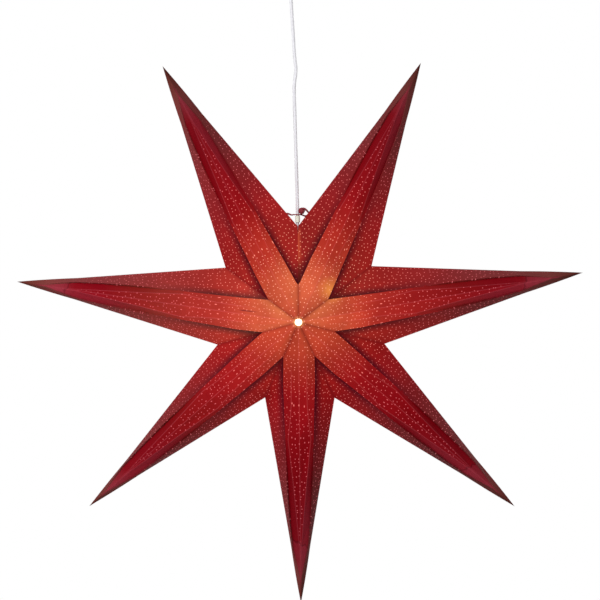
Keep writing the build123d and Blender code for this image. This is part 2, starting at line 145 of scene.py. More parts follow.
# Tie: a turn of yarn round the cord, a coil at each punched hole, and the knot
CORD_X = 7.0
TIE_Z = -281.2
TURN_R = 3.75
HOLES = ((-6.9, -1), (20.4, 1))
COIL_R = 1.25
KNOT_AT = (10.85, -4.7, -277.75)
KNOT_LEAN = (0.5, -0.55, 0.67)
KNOT_R = 2.35
KNOT_TURNS = 4.5

# Cord route: the same points as the part, with one more near the kink on the long straight run
ROUTE = [
    (-2.6, -22.0), (3.7, -123.2), (4.3, -132.9), (5.8, -142.5), (3.6, -157.1),
    (3.95, -172.0), (6.7, -263.0), (7.0, -276.0), (7.0, -327.3),
]
CORD_WIDE = 5.2
CORD_THICK = 3.2
# The groove between its cores: what it takes of the thickness, and half its width
GROOVE = 0.18
GROOVE_HALF = 1.3
# The cord turns to and fro a little about its own line
CORD_TWIST = 7
CORD_TWIST_STEP = 0.21

# Photograph: a square frame, seen straight on from far away
MM_PER_PIXEL = 0.9572
PIXELS = 600
SENSOR = 36
VIEW_X = 9.35
VIEW_Z = -362.9
CAMERA_FAR = 3.2
# Soft boxes, in metres and watts: where, how wide, how strong
LAMPS = {
    "key": ((-1.1, -1.8, 0.75), 0.9, 36),
    "fill": ((1.5, -1.7, -0.2), 1.4, 4),
    "back": ((0.6, 1.9, 0.4), 1.2, 10),
}
WORLD_LIGHT = 0.46
FLOOR_SIZE = 24
FLOOR_DROP = 420
# Where the floor has long turned to pure white, in metres from its middle
FLOOR_FADE = 3.0


def linear(code):
    """An sRGB hex colour as linear RGBA."""
    parts = [int(code[i:i + 2], 16) / 255 for i in (1, 3, 5)]
    return [p / 12.92 if p <= 0.04045 else ((p + 0.055) / 1.055) ** 2.4 for p in parts] + [1.0]


def ease(value, gone, full):
    """From 0 where an effect is gone to 1 where it is full, straight between."""
    return max(0.0, min(1.0, (value - gone) / (full - gone)))


def share(table, x):
    """Reads a table of shares at a distance along the point, straight between its rows."""
    x = x / STAR_R
    if x <= ALONG[0]:
        return table[0] * STAR_R
    for a, b, low, high in zip(ALONG, ALONG[1:], table, table[1:]):
        if x <= b:
            return (low + (high - low) * (x - a) / (b - a)) * STAR_R
    return table[-1] * STAR_R


def node(tree, kind, inputs=None, out=0, stops=(), **settings):
    """Adds a node with its settings, colour stops, input values and links, and gives one of its outputs.

    An input is linked where it is another node's output, and a hex colour or a number otherwise.
    """
    made = tree.nodes.new("ShaderNode" + kind)
    for name, value in settings.items():
        setattr(made, name, value)
    if stops:
        line = made.color_ramp.elements
        while len(line) < len(stops):
            line.new(0.5)
        for element, (place, colour) in zip(line, stops):
            element.position = place
            element.color = linear(colour) if isinstance(colour, str) else (colour, colour, colour, 1)
    for key, value in (inputs or {}).items():
        if isinstance(value, bpy.types.NodeSocket):
            tree.links.new(value, made.inputs[key])
        else:
            made.inputs[key].default_value = linear(value) if isinstance(value, str) else value
    return made.outputs[out] if len(made.outputs) else None


def empty_material(name):
    """A material with an empty tree."""
    made = bpy.data.materials.new(name)
    made.use_nodes = True
    made.node_tree.nodes.clear()
    return made, made.node_tree


def place_object(name, data):
    """An object for the data, at the origin, in the scene."""
    thing = bpy.data.objects.new(name, data)
    bpy.context.collection.objects.link(thing)
    return thing


# Camera and light


def camera():
    """Sees the star as the photograph does."""
    data = bpy.data.cameras.new("camera")
    data.sensor_width = SENSOR
    data.lens = SENSOR * CAMERA_FAR / (PIXELS * MM_PER_PIXEL * MM)
    data.clip_end = 50
    thing = place_object("camera", data)
    thing.location = (VIEW_X * MM, -CAMERA_FAR, VIEW_Z * MM)
    thing.rotation_euler = (math.radians(90), 0, 0)
    bpy.context.scene.camera = thing


def lamp(name, place, size, watts):
    """A square soft box that faces the star's middle."""
    data = bpy.data.lights.new(name, "AREA")
    data.size = size
    data.energy = watts
    thing = place_object(name, data)
    thing.location = place
    aim = Vector((0, 0, STAR_Z * MM))
    thing.rotation_euler = (aim - Vector(place)).to_track_quat("-Z", "Y").to_euler()


def background():
    """A white world that shows as white and lights the object from all round."""
    world = bpy.data.worlds.new("studio")
    bpy.context.scene.world = world
    world.use_nodes = True
    tree = world.node_tree
    tree.nodes.clear()
    seen = node(tree, "LightPath", out="Is Camera Ray")
    for kind in ("Is Transmission Ray", "Is Glossy Ray"):
        seen = node(tree, "Math", {0: seen, 1: node(tree, "LightPath", out=kind)}, operation="MAXIMUM")
    lit = node(tree, "Background", {"Color": "#FFFFFF", "Strength": WORLD_LIGHT})
    white = node(tree, "Background", {"Color": "#FFFFFF", "Strength": 1.0})
    both = node(tree, "MixShader", {0: seen, 1: lit, 2: white})
    node(tree, "OutputWorld", {"Surface": both})


def floor():
    """A pale floor well below the star, which turns to pure white further out and is open from below."""
    bpy.ops.mesh.primitive_plane_add(size=FLOOR_SIZE, location=(0, 0, (STAR_Z - STAR_R - FLOOR_DROP) * MM))
    thing = bpy.context.object
    thing.name = "floor"
    material, tree = empty_material("matt_white_backdrop_paper")
    plain = node(tree, "BsdfDiffuse", {"Color": "#F4F4F2"})
    white = node(tree, "Emission", {"Color": "#FFFFFF", "Strength": 1.0})
    away = node(tree, "VectorMath", {0: node(tree, "TexCoord", out="Object")}, "Value", operation="LENGTH")
    away = node(tree, "Math", {0: away, 1: FLOOR_FADE}, operation="DIVIDE")
    clean = node(tree, "ValToRGB", {0: away}, stops=[(0.25, 0.55), (0.8, 1.0)])
    seen = node(tree, "LightPath", out="Is Camera Ray")
    seen = node(tree, "Math", {0: seen, 1: clean}, operation="MULTIPLY")
    both = node(tree, "MixShader", {0: seen, 1: plain, 2: white})
    under = node(tree, "NewGeometry", out="Backfacing")
    sided = node(tree, "MixShader", {0: under, 1: both, 2: node(tree, "BsdfTransparent")})
    node(tree, "OutputMaterial", {"Surface": sided})
    thing.data.materials.append(material)


# Finishes


def dyed_card():
    """Dyed red card with punched light dots: matt, and it glows where the bulb is near."""
    material, tree = empty_material("dyed_red_card")
    place = node(tree, "TexCoord", out="Object")
    mark = {name: node(tree, "Attribute", out="Fac", attribute_name=name) for name in MARKS}

    # Distance from the bulb, in star radiuses; depth counts half, since the card there faces the bulb
    flat = node(tree, "VectorMath", {0: place, 1: (1, 0.5, 1)}, operation="MULTIPLY")
    away = node(tree, "VectorMath", {0: flat, 1: BULB_AT}, "Value", operation="DISTANCE")
    far = node(tree, "Math", {0: away, 1: STAR_R * MM}, operation="DIVIDE")
    # What the bulb sends through the card, brightest on the petals near it
    through_petal = node(tree, "ValToRGB", {0: far}, stops=[
        (0.11, "#BF5C3C"), (0.185, "#983422"), (0.241, "#8C2A1C"), (0.296, "#761C14"), (0.37, "#680D0C"),
        (0.463, "#590709"), (0.556, "#430303"), (0.667, "#280101"), (0.778, "#100000"), (0.963, "#000000"),
    ])
    through_flange = node(tree, "ValToRGB", {0: far}, stops=[
        (0.13, "#7E1D16"), (0.22, "#7E1D16"), (0.278, "#73140F"), (0.333, "#670D0A"), (0.389, "#590707"),
        (0.463, "#4D0404"), (0.556, "#380202"), (0.667, "#210000"), (0.815, "#000000"),
    ])
    glow = node(tree, "Mix", {0: mark["petal"], 6: through_flange, 7: through_petal}, 2, data_type="RGBA")
    # Painted shade: the outer strips and the recesses let less of the bulb's light through
    for name, most, colour in (("strip", 0.35, "#100104"), ("recess", 0.9, "#0A0108")):
        part = node(tree, "Math", {0: mark[name], 1: most}, operation="MULTIPLY")
        glow = node(tree, "Mix", {0: part, 6: glow, 7: colour}, 2, data_type="RGBA")
    # Where more light comes through, it turns from red to orange
    warmer = node(tree, "VectorMath", {0: glow, 1: WARMER}, operation="MULTIPLY")
    glow = node(tree, "Mix", {0: mark["warm"], 6: glow, 7: warmer}, 2, data_type="RGBA")
    extra = node(tree, "VectorMath", {0: AMBER_LIGHT, 3: mark["amber"]}, operation="SCALE")
    glow = node(tree, "VectorMath", {0: glow, 1: extra}, operation="ADD")
    # The bulb stands nearer the card up on the right: a small hot patch there
    near = node(tree, "VectorMath", {0: flat, 1: HOT_AT}, "Value", operation="DISTANCE")
    near = node(tree, "Math", {0: near, 1: HOT_REACH}, operation="DIVIDE")
    heat = node(tree, "ValToRGB", {0: near}, stops=[(0.03, 0.72), (0.11, 0.35), (0.24, 0.0)])
    heat = node(tree, "Math", {0: heat, 1: mark["petal"]}, operation="MULTIPLY")
    lit = node(tree, "Math", {0: mark["lit"], 1: 0.6}, operation="MULTIPLY")
    halo = node(tree, "ValToRGB", {0: mark["reach"]}, stops=[(0.012, 0.7), (0.024, 0.0)])
    for part, colour in ((heat, "#F09A48"), (lit, "#D4603C"), (halo, "#F4AC70")):
        glow = node(tree, "Mix", {0: part, 6: glow, 7: colour}, 2, data_type="RGBA")
    # Cloudy pulp, in soft patches
    cloud = node(tree, "TexNoise", {
        "Scale": 1 / (PULP_PATCH * MM), "Detail": 4.0, "Roughness": 0.6, "Vector": place,
    }, "Fac")
    shade = node(tree, "ValToRGB", {0: cloud}, stops=[(0.36, 0.76), (0.64, 1.0)])
    glow = node(tree, "Mix", {0: 1.0, 6: glow, 7: shade}, 2, data_type="RGBA", blend_type="MULTIPLY")
    # Each half of a petal or flange meets the bulb's light at its own angle
    glow = node(tree, "VectorMath", {0: glow, 3: mark["light"]}, operation="SCALE")

    # The card's red, and a darker, browner copy of it for the flanges as painted shade; both greyer and
    # browner towards the tips
    petal_dye = node(tree, "ValToRGB", {0: mark["reach"]}, stops=[
        (0.55, "#72000A"), (0.80, "#7A0814"), (0.90, "#842C36"), (0.93, "#68242A"), (0.96, "#521C1E"),
        (1.0, "#461A18"),
    ])
    flange_dye = node(tree, "ValToRGB", {0: mark["reach"]}, stops=[
        (0.30, "#680C12"), (0.50, "#6C1A1E"), (0.70, "#6C2A2C"), (0.90, "#6A302E"), (0.97, "#582822"),
        (1.0, "#4A1E1A"),
    ])
    dye_and_painted_light = node(tree, "Mix", {0: mark["petal"], 6: flange_dye, 7: petal_dye}, 2, data_type="RGBA")
    # Painted light and shade on the card's colour: paler halves where the soft light outside falls, a dark
    # line of shade at the zigzag fold with lit card beyond it, and shade in the hollows
    pale = node(tree, "Math", {0: mark["pale"], 1: 0.30}, operation="MULTIPLY")
    beyond = node(tree, "Math", {0: mark["cross"], 1: 20.0}, operation="DIVIDE")
    beyond = node(tree, "ValToRGB", {0: beyond}, stops=[(0.0, 0.0), (0.03, 0.18), (0.6, 0.15), (0.85, 0.0)])
    lines = {}
    for name, stops in (("cross", [(0.08, 0.4), (0.24, 0.0)]), ("pinch", [(0.05, 0.7), (0.16, 0.0)])):
        apart = node(tree, "Math", {0: mark[name]}, operation="ABSOLUTE")
        apart = node(tree, "Math", {0: apart, 1: 5.0}, operation="DIVIDE")
        lines[name] = node(tree, "ValToRGB", {0: apart}, stops=stops)
    hollow_shade = node(tree, "Math", {0: mark["recess"], 1: 0.8}, operation="MULTIPLY")
    # The short pinched crease on the left petal, a dark line of painted shade in the colour and in the glow,
    # starts and ends softly
    length = node(tree, "ValToRGB", {0: mark["reach"]}, stops=[
        (0.145, 0.0), (0.175, 1.0), (0.20, 1.0), (0.212, 0.0),
    ])
    pinch = node(tree, "Math", {0: lines["pinch"], 1: length}, operation="MULTIPLY")
    for part, colour in ((pale, "#903240"), (beyond, "#9A3C4C"), (lines["cross"], "#3E0610"),
                         (hollow_shade, "#2A0410"), (pinch, "#3A0412")):
        dye_and_painted_light = node(tree, "Mix", {0: part, 6: dye_and_painted_light, 7: colour}, 2, data_type="RGBA")
    glow = node(tree, "Mix", {0: pinch, 6: glow, 7: "#2E0410"}, 2, data_type="RGBA")
    # Paper fibre, which makes the card look soft and dry
    fibre = node(tree, "TexNoise", {
        "Scale": FIBRES_PER_MM / MM, "Detail": 4.0, "Roughness": 0.7, "Vector": place,
    }, "Fac")
    speck = node(tree, "ValToRGB", {0: fibre}, stops=[(0.3, 0.84), (0.7, 1.0)])
    dye_and_painted_light = node(tree, "Mix", {0: 1.0, 6: dye_and_painted_light, 7: speck}, 2, data_type="RGBA", blend_type="MULTIPLY")

    # Punched dots just under 1 mm across, none near the tips, on the outer strips or in the hollows
    sheet = node(tree, "UVMap", out="UV", uv_map="sheet")
    cells = node(tree, "TexVoronoi", {
        "Scale": 1 / (DOT_SPACING * MM), "Randomness": 0.70, "Vector": sheet,
    }, "Distance", voronoi_dimensions="2D")
    dotted = node(tree, "ValToRGB", {0: cells}, stops=[(0.070, 1.0), (0.126, 0.0)])
    inner = node(tree, "ValToRGB", {0: mark["reach"]}, stops=[(0.68, 1.0), (0.82, 0.0)])
    dotted = node(tree, "Math", {0: dotted, 1: inner}, operation="MULTIPLY")
    for name in ("strip", "recess"):
        off = node(tree, "Math", {0: 1.0, 1: mark[name]}, operation="SUBTRACT")
        dotted = node(tree, "Math", {0: dotted, 1: off}, operation="MULTIPLY")
    dotted = node(tree, "Math", {0: dotted, 1: 0.8}, operation="MULTIPLY")
    # The dots shine with the bulb's light, painted into the glow and brighter nearer the bulb
    spark = node(tree, "ValToRGB", {0: far}, stops=[
        (0.12, "#FFB090"), (0.30, "#F08478"), (0.5, "#CA646A"), (0.8, "#AE5C62"),
    ])
    glow = node(tree, "Mix", {0: dotted, 6: glow, 7: spark}, 2, data_type="RGBA")

    # Fold lines: lighter on the ridge and creases, part wear and part painted highlight, in the glow near
    # the middle too; dark where two petals meet, a dark joint with painted shade beside it
    wear_and_highlight = node(tree, "Math", {0: mark["fold"], 1: mark["crease"]}, operation="MINIMUM")
    wear_and_highlight = node(tree, "ValToRGB", {0: wear_and_highlight}, stops=[(0.15, 0.26), (0.5, 0.0)])
    ends = node(tree, "ValToRGB", {0: mark["reach"]}, stops=[(0.75, 1.0), (0.9, 0.0)])
    wear_and_highlight = node(tree, "Math", {0: wear_and_highlight, 1: ends}, operation="MULTIPLY")
    inner = node(tree, "ValToRGB", {0: mark["reach"]}, stops=[(0.35, 0.45), (0.65, 0.0)])
    fold_highlight = node(tree, "Math", {0: wear_and_highlight, 1: inner}, operation="MULTIPLY")
    joint = node(tree, "Math", {0: mark["seam"], 1: 0.2}, operation="MULTIPLY")
    joint = node(tree, "ValToRGB", {0: joint}, stops=[(0.04, 0.52), (0.16, 0.26), (0.6, 0.0)])
    for part, colour in ((wear_and_highlight, "#A84654"), (joint, "#4A040E")):
        dye_and_painted_light = node(tree, "Mix", {0: part, 6: dye_and_painted_light, 7: colour}, 2, data_type="RGBA")
    for part, colour in ((fold_highlight, "#9A4A3C"), (joint, "#480608")):
        glow = node(tree, "Mix", {0: part, 6: glow, 7: colour}, 2, data_type="RGBA")
    # The card's colour is scaled too by each half's painted light and shade
    dye_and_painted_light = node(tree, "VectorMath", {0: dye_and_painted_light, 3: mark["light"]}, operation="SCALE")

    bump = node(tree, "Bump", {"Strength": 0.25, "Distance": 0.15 * MM, "Height": fibre})
    rough = node(tree, "ValToRGB", {0: fibre}, stops=[(0.3, 0.55), (0.7, 0.70)])
    shader = node(tree, "BsdfPrincipled", {
        "IOR": 1.45, "Emission Strength": 1.4, "Specular IOR Level": 0.04,
        "Base Color": dye_and_painted_light, "Emission Color": glow, "Roughness": rough, "Normal": bump,
    })
    node(tree, "OutputMaterial", {"Surface": shader})
    return material


def plain_finish(name, colour, second, grain_mm, roughness, metallic=0.0, bump_mm=0.02, glow=None):
    """A moulded, pressed or drawn finish: two close colours and a grain of a real size."""
    material, tree = empty_material(name)
    place = node(tree, "TexCoord", out="Object")
    grain = node(tree, "TexNoise", {"Scale": 1 / (grain_mm * MM), "Detail": 3.0, "Vector": place}, "Fac")
    tone = node(tree, "ValToRGB", {0: grain}, stops=[(0.3, colour), (0.7, second)])
    rough = node(tree, "ValToRGB", {0: grain}, stops=[(0.3, roughness), (0.7, min(1.0, roughness + 0.1))])
    bump = node(tree, "Bump", {"Strength": 0.2, "Distance": bump_mm * MM, "Height": grain})
    values = {"Metallic": metallic, "Base Color": tone, "Roughness": rough, "Normal": bump}
    if glow:
        values["Emission Color"], values["Emission Strength"] = glow
    shader = node(tree, "BsdfPrincipled", values)
    node(tree, "OutputMaterial", {"Surface": shader})
    return material


# Star


def frame_of(angle):
    """The directions along a point and across it, to its right-hand side looking outward."""
    a = math.radians(angle)
    along = Vector((math.sin(a), 0, math.cos(a)))
    across = Vector((math.cos(a), 0, -math.sin(a)))
    return along, across


def unfold_petal(x, w, d):
    """Flat sheet coordinates of a place on a petal: along its ridge, and out from it."""
    slope = (share(RIDGE_D, x - 4) - share(RIDGE_D, x + 4)) / 8
    stretch = math.hypot(1, slope)
    # Close to the middle the petals are nearly flat
    drop = (share(RIDGE_D, x) - d) * ease(x, 18, 32)
    along = slope * drop / stretch
    out = math.sqrt(max(0.0, w * w + drop * drop - along * along))
    return x * stretch + along, math.copysign(out, w)


def edge_slopes(points, reach):
    """How far each outer edge leans out from the point's middle line: its left side and its right side."""
    found = {}
    for side in (-1, 1):
        found[side] = max(side * w / (reach - x) for x, w in points if 75 < x < 200)
    return found


def unfold_flange(x, w, d, reach, side, lift, slope):
    """Flat sheet coordinates of a place on a flange: along its outer edge, and in from it."""
    offset = Vector((reach - x, w, -d))
    edge = Vector((1, side * slope, lift / (VALLEY_X - reach))).normalized()
    along = offset.dot(edge)
    return reach - along, side * (FLANGE_SHIFT + (offset - edge * along).length)


def close_slit(bm, middle):
    """Brings the two petals beside the slit together, from below its open top to the centre."""
    up, out = frame_of(SLIT_ANGLE)
    for vert in bm.verts:
        p = vert.co / MM - middle
        height, gap = p.dot(up), p.dot(out)
        if SLIT_BOTTOM < height < SLIT_TOP and 0.3 < abs(gap) < 1.7:
            fade = ease(height, SLIT_TOP, SLIT_TOP - 7)
            vert.co -= out * (math.copysign(SLIT_SHUT, gap) * fade * MM)


def stretch_tip(bm, middle, along, across, reach, more):
    """The card's very tip: a little longer and wider than the solid's, as the card is folded there."""
    for vert in bm.verts:
        p = vert.co / MM - middle
        t = ease(p.dot(along) / reach, TIP_FROM, 1.0)
        vert.co += (along * (more * t * t) + across * (TIP_WIDEN * t * p.dot(across))) * MM


def ripple(kind, x, w, layer, index):
    """A smooth random height for a place on a point, the same at each run."""
    length, width, start, step = kind
    return noise.noise(Vector((x / length + start, w / width, layer + step * index)))


def dent(bm, middle, along, across, seams, index):
    """Soft dents and sharper crumples in the card, fading out at its seams and outer edges."""
    for vert in bm.verts:
        p = vert.co / MM - middle
        x, w, d = p.dot(along), p.dot(across), abs(p.y)
        clear = min(abs(w * math.cos(a) - x * math.sin(a)) if x < 95 else 99.0 for a in seams)
        fade = ease(clear, 0, 9) * ease(d, 0, 12) * ease(x, 14, 34)
        layer = BACK_DENTS if p.y > 0 else 0
        soft = ripple(DENTS, x, w, layer, index)
        # Creases and crumples are sharp, because a ripple folds back where it crosses zero
        crease = 1 - 2 * abs(ripple(CREASES, x, w, layer, index))
        crush = 1 - 2 * abs(ripple(CRUMPLES, x, w, layer, index))
        outer = 0.3 + ease(x, 150, 200)
        at_tip = ease(x, 190, 210) * ease(d, 1.5, 4.5)
        push = (DENT_DEEP * soft + CREASE_DEEP * outer * crease * crease) * fade
        push += CRUMPLE_DEEP * at_tip * crush * crush
        push -= FOLD_DEEP * at_tip * ease(abs(past_fold(index, x, w)), 3, 0)
        vert.co.y += math.copysign(push, p.y) * MM


def past_fold(index, x, w):
    """How far a place lies past the zigzag fold across its point; well short of it where there is none."""
    if index not in CROSS_FOLD or x < 150:
        return NO_FOLD
    return x - CROSS_FOLD[index] + FOLD_LEAN * w + FOLD_WAVE * math.sin(1.1 * w)


def zone_of(x, w, d, front_tilt):
    """Whether a face belongs to a raised petal, and to the strip outside its inner creases."""
    petal = abs(w) < share(PETAL_W, x) * 1.02 + 0.05 and d > share(PETAL_D, x) - 1.3
    petal = petal and (front_tilt > 0.05 or x < 30)
    return petal, petal and x > STRIP_FROM and abs(w) > share(CREASE_W, x)


def edge_light(clear, radius):
    """How much the card beside the slit catches the bulb's light, on its right-hand side."""
    ends = max(0.1, ease(radius, 50, 70)) * ease(radius, SLIT_TOP, SLIT_TOP - 4)
    return max(0.0, 1 - (clear - 0.5) / 2.2) * ends


def marks_at(index, p, x, w, side, seams, petal, strip):
    """What the card's material reads at a corner that lies at p from the star's middle."""
    radius = math.hypot(x, w)
    clear = min(abs(w * math.cos(a) - x * math.sin(a)) for a in seams)
    lit = 0.0
    if beside_slit(index, w) and radius > 36:
        if index == 0:
            lit = edge_light(clear, radius)
        clear = NO_LINE
    outer = ease(radius, 120, 190)
    pale = side == PALE_SIDE[index]
    light = (PETAL_LIGHT if petal else FLANGE_LIGHT)[index][1 if side > 0 else 0]
    near, along_arm = WARM[index]
    amber = along_arm * ease(radius, 190, 130)
    marks = {"reach": radius / STAR_R, "seam": clear if radius < 100 else NO_LINE, "lit": lit}
    if petal:
        shown = outer if strip or x > STRIP_WHOLE else 0.2 * outer
        marks.update({
            "petal": 1.0, "strip": 1.0 if strip else 0.0, "recess": 0.0, "light": light,
            "fold": abs(w), "crease": abs(abs(w) - share(CREASE_W, x)) if x > 40 else NO_LINE,
            "warm": near * ease(radius, 70, 43), "amber": amber, "pale": shown if pale else 0.0,
            "cross": past_fold(index, x, w),
            "pinch": w - PINCH_W + PINCH_LEAN * (x - PINCH_X) if index == PINCHED else NO_PINCH,
        })
        return marks
    # A flange lies deep beside its petal and in the pit near the middle, where it gets painted shade; its
    # painted light is weaker on the side of a petal's paler half and stronger below the bulb
    beyond = max(0.0, abs(w) - share(PETAL_W, x))
    under = ease(beyond, 7, 0) * ease(x, 150, 80)
    light *= 1 - 0.22 * outer if pale else 1 + 0.08 * outer
    height = max(-1.0, min(1.0, p.z / 50)) * ease(radius, 125, 90)
    light *= 1 - 0.17 * height
    marks.update({
        "petal": 0.0, "strip": 0.0, "recess": max(under, ease(radius, 60, 38)), "light": light,
        "fold": NO_LINE, "crease": NO_LINE, "warm": 0.0, "amber": 0.65 * amber, "pale": 0.0,
        "cross": NO_FOLD, "pinch": NO_PINCH,
    })
    return marks


def beside_slit(index, w):
    """Whether a place lies on the side of its point that faces the open slit."""
    return index in SLIT_POINTS and (w < 0) == (index == 0)


def paper_point(index, card):
    """A copy of the folded point, divided finely, dented and marked with its zones and fold lines."""
    source = frame["nodes"]["star_point_%d" % (index + 1)]
    mesh = source.data.copy()
    mesh.name = "paper_point_%d" % (index + 1)
    thing = place_object(mesh.name, mesh)
    mesh.materials.clear()
    mesh.materials.append(card)
    along, across = frame_of(POINT_ANGLES[index])
    middle = Vector((STAR_X, 0, STAR_Z))
    reach = STAR_R * POINT_REACH[index]
    seams = []
    for seam in (SEAM_ANGLES[index], SEAM_ANGLES[index - 1]):
        seams.append(math.radians((seam - POINT_ANGLES[index] + 180) % 360 - 180))
    bm = bmesh.new()
    bm.from_mesh(mesh)
    bmesh.ops.remove_doubles(bm, verts=bm.verts, dist=WELD)
    for longest, cuts in ROUNDS:
        edges = [e for e in bm.edges if e.calc_length() > longest * MM]
        bmesh.ops.subdivide_edges(bm, edges=edges, cuts=cuts, use_grid_fill=True)
        bmesh.ops.triangulate(bm, faces=[f for f in bm.faces if len(f.verts) > 3])
    if index in SLIT_POINTS:
        close_slit(bm, middle)
    stretch_tip(bm, middle, along, across, reach, TIP_STRETCH[index])
    # The marks are read before the dents, so that lines and zones stay straight
    plain = {v.index: (v.co / MM - middle) for v in bm.verts}
    slopes = edge_slopes([(p.dot(along), p.dot(across)) for p in plain.values()], reach)
    dent(bm, middle, along, across, seams, index)
    bm.to_mesh(mesh)
    bm.free()
    mesh.uv_layers.new(name="sheet")
    for name in MARKS:
        mesh.attributes.new(name, "FLOAT", "CORNER")
    uv = mesh.uv_layers["sheet"]
    marks = {name: mesh.attributes[name] for name in MARKS}
    for face in mesh.polygons:
        corners = [plain[i] for i in face.vertices]
        c = sum(corners, Vector()) / len(corners)
        side = 1 if c.dot(across) > 0 else -1
        tilt = (corners[1] - corners[0]).cross(corners[2] - corners[0]).normalized()
        petal, strip = zone_of(c.dot(along), c.dot(across), abs(c.y), abs(tilt.y))
        back = BACK_SHIFT if c.y > 0 else 0
        for loop in face.loop_indices:
            p = plain[mesh.loops[loop].vertex_index]
            x, w, d = p.dot(along), p.dot(across), abs(p.y)
            if petal:
                u, v = unfold_petal(x, w, d)
            else:
                lift = SLIT_EDGE_D if beside_slit(index, w) else EDGE_D
                u, v = unfold_flange(x, w, d, reach, side, lift, slopes[side])
            uv.data[loop].uv = ((u + back) * MM, (v + MIDDLE_SHIFT) * MM + POINT_SHIFT * index)
            for name, value in marks_at(index, p, x, w, side, seams, petal, strip).items():
                marks[name].data[loop].value = value
    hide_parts("star_point_%d" % (index + 1))
    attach(thing, "star")


# Cord


def cord_line():
    """The cord's smooth line, read from the spline through its route."""
    curve = bpy.data.curves.new("cord_route", "CURVE")
    curve.dimensions = "3D"
    spline = curve.splines.new("NURBS")
    spline.points.add(len(ROUTE) - 1)
    for point, (x, z) in zip(spline.points, ROUTE):
        point.co = (x * MM, 0, z * MM, 1)
    spline.order_u = 3
    spline.use_endpoint_u = True
    spline.resolution_u = 16
    thing = bpy.data.objects.new("cord_route", curve)
    mesh = bpy.data.meshes.new_from_object(thing)
    line = [v.co.copy() for v in mesh.vertices]
    bpy.data.meshes.remove(mesh)
    bpy.data.objects.remove(thing)
    bpy.data.curves.remove(curve)
    return line


def cord_section(count=28):
    """Half round on both long sides, with the groove between the two cores."""
    out = []
    core = CORD_THICK / 2
    offset = (CORD_WIDE - CORD_THICK) / 2
    for i in range(count):
        a = 2 * math.pi * i / count
        c, s = math.cos(a), math.sin(a)
        y = core * c + math.copysign(offset, c) * min(1.0, abs(c) * 3)
        groove = 1 - GROOVE + GROOVE * min(1.0, abs(y) / GROOVE_HALF)
        out.append((core * s * groove, y))
    return out


def finished_mesh(name, bm, finish):
    """A mesh object from the shape, smooth on its sides and flat on its end caps."""
    bmesh.ops.recalc_face_normals(bm, faces=bm.faces)
    mesh = bpy.data.meshes.new(name)
    bm.to_mesh(mesh)
    bm.free()
    for face in mesh.polygons:
        face.use_smooth = len(face.vertices) == 4
    mesh.materials.append(finish)
    return place_object(name, mesh)


def cord(finish):
    """The flat two-core cord, one tube from the clamp to the lamp holder, which bends at the pivot."""
    line = cord_line()
    section = cord_section()
    bm = bmesh.new()
    rings = []
    for i, p in enumerate(line):
        ahead = (line[min(i + 1, len(line) - 1)] - line[max(i - 1, 0)]).normalized()
        sideways = Vector((0, 1, 0)).cross(ahead).normalized()
        twist = math.radians(CORD_TWIST) * math.sin(i * CORD_TWIST_STEP)
        ring = []
        for x, y in section:
            tx = x * math.cos(twist) - y * math.sin(twist)
            ty = x * math.sin(twist) + y * math.cos(twist)
            ring.append(bm.verts.new(p + sideways * (tx * MM) + Vector((0, ty * MM, 0))))
        rings.append(ring)
    for a, b in zip(rings, rings[1:]):
        for i in range(len(section)):
            j = (i + 1) % len(section)
            bm.faces.new((a[i], a[j], b[j], b[i]))
    bm.faces.new(rings[0])
    bm.faces.new(list(reversed(rings[-1])))
    thing = finished_mesh("mains_cord", bm, finish)
    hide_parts("cord_upper", "cord_lower")
    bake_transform(thing)


# Tie


def tube(bm, path, radius, taper, sides=10, plies=2, pitch=3.2):
    """A yarn of twisted plies along a path, in millimetres: each ply is a lobe of its section."""
    rings = []
    run = 0.0
    side = Vector((0, 1, 0))
    for i, p in enumerate(path):
        ahead = (path[min(i + 1, len(path) - 1)] - path[max(i - 1, 0)]).normalized()
        side = (side - ahead * side.dot(ahead)).normalized()
        other = ahead.cross(side)
        if i:
            run += (p - path[i - 1]).length
        end = 1 - taper * (i / (len(path) - 1))
        ring = []
        for k in range(sides * plies):
            a = 2 * math.pi * k / (sides * plies)
            turn = a + 2 * math.pi * run / pitch
            r = radius * end * (0.74 + 0.26 * abs(math.cos(a * plies / 2)))
            ring.append(bm.verts.new((p + (side * math.cos(turn) + other * math.sin(turn)) * r) * MM))
        rings.append(ring)
    for a, b in zip(rings, rings[1:]):
        for k in range(len(a)):
            j = (k + 1) % len(a)
            bm.faces.new((a[k], a[j], b[j], b[k]))
    bm.faces.new(list(reversed(rings[0])))
    bm.faces.new(rings[-1])


def smooth_path(points, steps=10):
    """A smooth line through the points."""
    path = []
    for i in range(len(points) - 1):
        p0 = points[max(i - 1, 0)]
        p1, p2 = points[i], points[i + 1]
        p3 = points[min(i + 2, len(points) - 1)]
        for k in range(steps):
            t = k / steps
            path.append(0.5 * ((2 * p1) + (p2 - p0) * t + (2 * p0 - 5 * p1 + 4 * p2 - p3) * t * t
                               + (3 * p1 - p0 - 3 * p2 + p3) * t * t * t))
    path.append(points[-1])
    return path


def yarn_piece(name, runs, finish, node_name):
    """Runs of yarn as one piece that turns with the star: each has a path, a radius and a taper."""
    bm = bmesh.new()
    for path, radius, taper in runs:
        tube(bm, path, radius, taper)
    thing = finished_mesh(name, bm, finish)
    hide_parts(node_name)
    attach(thing, "star")


